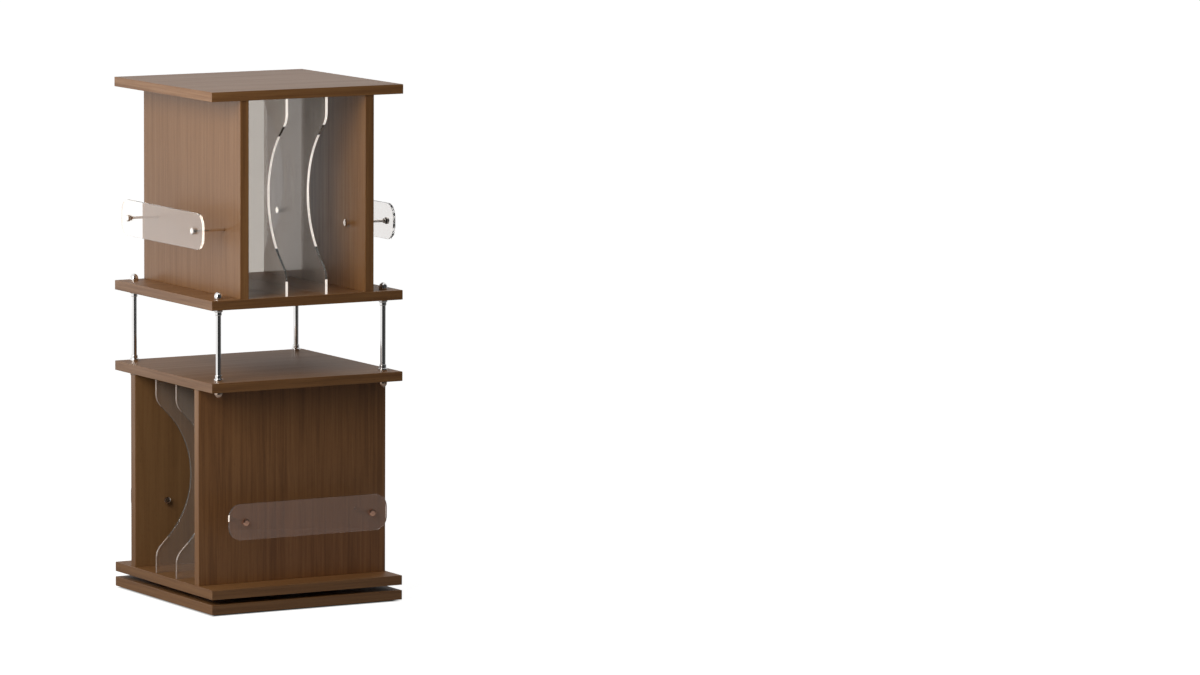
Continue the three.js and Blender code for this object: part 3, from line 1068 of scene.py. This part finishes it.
def seen_rays(tree, in_gloss=1.0):
    """1 for rays that show the background, from the camera or through glass; in_gloss for mirrored ones; a
    painted shade for rays that went straight through two sheets
    """
    path = add(tree, "ShaderNodeLightPath")
    glossy = blend_values(tree, path.outputs["Is Glossy Ray"], in_gloss)
    mirrored = blend_values(tree, path.outputs["Glossy Depth"], 0.5, "GREATER_THAN")
    glazed = add(tree, "ShaderNodeMix", {0: mirrored, 2: 1.0, 3: in_gloss}).outputs[0]
    through = blend_values(tree, path.outputs["Is Transmission Ray"], glazed)
    direct = blend_values(tree, path.outputs["Is Camera Ray"], glossy, "MAXIMUM")
    level = blend_values(tree, direct, through, "MAXIMUM")
    unscattered = blend_values(tree, path.outputs["Diffuse Depth"], 0.5, "LESS_THAN")
    deep = blend_values(tree, path.outputs["Transmission Depth"], 2.5, "GREATER_THAN")
    straight = blend_values(tree, path.outputs["Glossy Depth"], 0.5, "LESS_THAN")
    # Painted shade on the background seen straight through two sheets
    clear = remap(tree, blend_values(tree, deep, straight), (0.0, 1.0), (1.0, SHADE_THROUGH_TWO_SHEETS))
    return blend_values(tree, blend_values(tree, level, unscattered), clear)


def make_world():
    world = bpy.data.worlds.new("studio")
    bpy.context.scene.world = world
    world.use_nodes = True
    tree = world.node_tree
    tree.nodes.clear()
    output = add(tree, "ShaderNodeOutputWorld")
    lamp = add(tree, "ShaderNodeBackground", {"Color": WORLD_COLOUR, "Strength": WORLD_LEVEL})
    white = add(tree, "ShaderNodeBackground", {"Color": (1, 1, 1, 1), "Strength": BACKGROUND_WHITE})
    mix = add(tree, "ShaderNodeMixShader", {0: seen_rays(tree), 1: lamp.outputs[0], 2: white.outputs[0]})
    tree.links.new(mix.outputs[0], output.inputs["Surface"])


def make_lamp(name, power, colour, size, place, target):
    """A soft rectangular lamp that only its light and its reflections show"""
    data = bpy.data.lights.new(name, "AREA")
    data.shape = "RECTANGLE"
    data.size, data.size_y = size
    data.energy = power
    data.color = colour
    lamp = bpy.data.objects.new(name, data)
    lamp.location = place
    lamp.rotation_mode = "QUATERNION"
    lamp.rotation_quaternion = (Vector(target) - Vector(place)).to_track_quat("-Z", "Y")
    lamp.visible_camera = False
    lamp.visible_transmission = False
    bpy.context.collection.objects.link(lamp)


def make_flag(name, left, right, bottom, top, left_level, right_level, in_glass):
    """A dark curved screen that shows only in gloss, and maybe in what a clear sheet reflects from within"""
    mesh = bpy.data.meshes.new(f"studio_flag_{name}")
    shape = bmesh.new()
    columns = []
    for i in range(FLAG_STEPS + 1):
        angle = math.radians(left + (right - left) * i / FLAG_STEPS)
        x, y = FLAG_DISTANCE * math.sin(angle), -FLAG_DISTANCE * math.cos(angle)
        columns.append([shape.verts.new((x, y, z)) for z in (bottom, top)])
    for start, end in zip(columns, columns[1:]):
        shape.faces.new([start[0], end[0], end[1], start[1]])
    shape.to_mesh(mesh)
    shape.free()
    flag = bpy.data.objects.new(f"studio_flag_{name}", mesh)
    flag.rotation_euler.z = CAMERA_AZIMUTH
    bpy.context.collection.objects.link(flag)
    material, tree, output = new_material(f"flag_{name}")
    place = add(tree, "ShaderNodeTexCoord").outputs["Object"]
    across = add(tree, "ShaderNodeSeparateXYZ", {"Vector": place}).outputs["X"]
    ends = [FLAG_DISTANCE * math.sin(math.radians(angle)) for angle in (left, right)]
    level = remap(tree, across, ends, (left_level, right_level))
    shader = add(tree, "ShaderNodeEmission", {"Strength": level})
    reflected = add(tree, "ShaderNodeLightPath").outputs["Glossy Depth"]
    clear = add(tree, "ShaderNodeBsdfTransparent")
    mix = add(
        tree,
        "ShaderNodeMixShader",
        {0: blend_values(tree, reflected, 1.0, "MINIMUM"), 1: clear.outputs[0], 2: shader.outputs[0]},
    )
    tree.links.new(mix.outputs[0], output.inputs["Surface"])
    mesh.materials.append(material)
    flag.visible_camera = False
    flag.visible_diffuse = False
    flag.visible_transmission = in_glass
    flag.visible_shadow = False


def make_camera():
    data = bpy.data.cameras.new("camera")
    data.lens = CAMERA_LENS_MM
    data.sensor_width = SENSOR_WIDTH_MM
    data.shift_x = (PICTURE_WIDTH_PX / 2 - PRINCIPAL_X_PX) / PICTURE_WIDTH_PX
    data.clip_end = CAMERA_REACH
    camera = bpy.data.objects.new("camera", data)
    camera.location = CAMERA_EYE
    back = Vector(
        (
            math.sin(CAMERA_AZIMUTH) * math.cos(CAMERA_ELEVATION),
            -math.cos(CAMERA_AZIMUTH) * math.cos(CAMERA_ELEVATION),
            math.sin(CAMERA_ELEVATION),
        )
    )
    camera.rotation_mode = "QUATERNION"
    camera.rotation_quaternion = (-back).to_track_quat("-Z", "Y")
    bpy.context.collection.objects.link(camera)
    bpy.context.scene.camera = camera


def set_scene():
    scene = bpy.context.scene
    scene.view_settings.view_transform = "Standard"
    scene.cycles.max_bounces = MOST_BOUNCES
    scene.cycles.glossy_bounces = MOST_BOUNCES
    scene.cycles.transmission_bounces = MOST_BOUNCES
    scene.cycles.caustics_reflective = False
    scene.cycles.caustics_refractive = False


make_camera()
set_scene()
make_world()
make_floor()
make_lamp("key", KEY_POWER, KEY_COLOUR, KEY_SIZE, KEY_PLACE, KEY_TARGET)
make_lamp("back_left", RIM_POWER, KEY_COLOUR, RIM_SIZE, RIM_PLACE, RIM_TARGET)
for name, settings in FLAGS.items():
    make_flag(name, *settings)
dress_boards()
dress_tiers()
dress_rods()
dress_base()
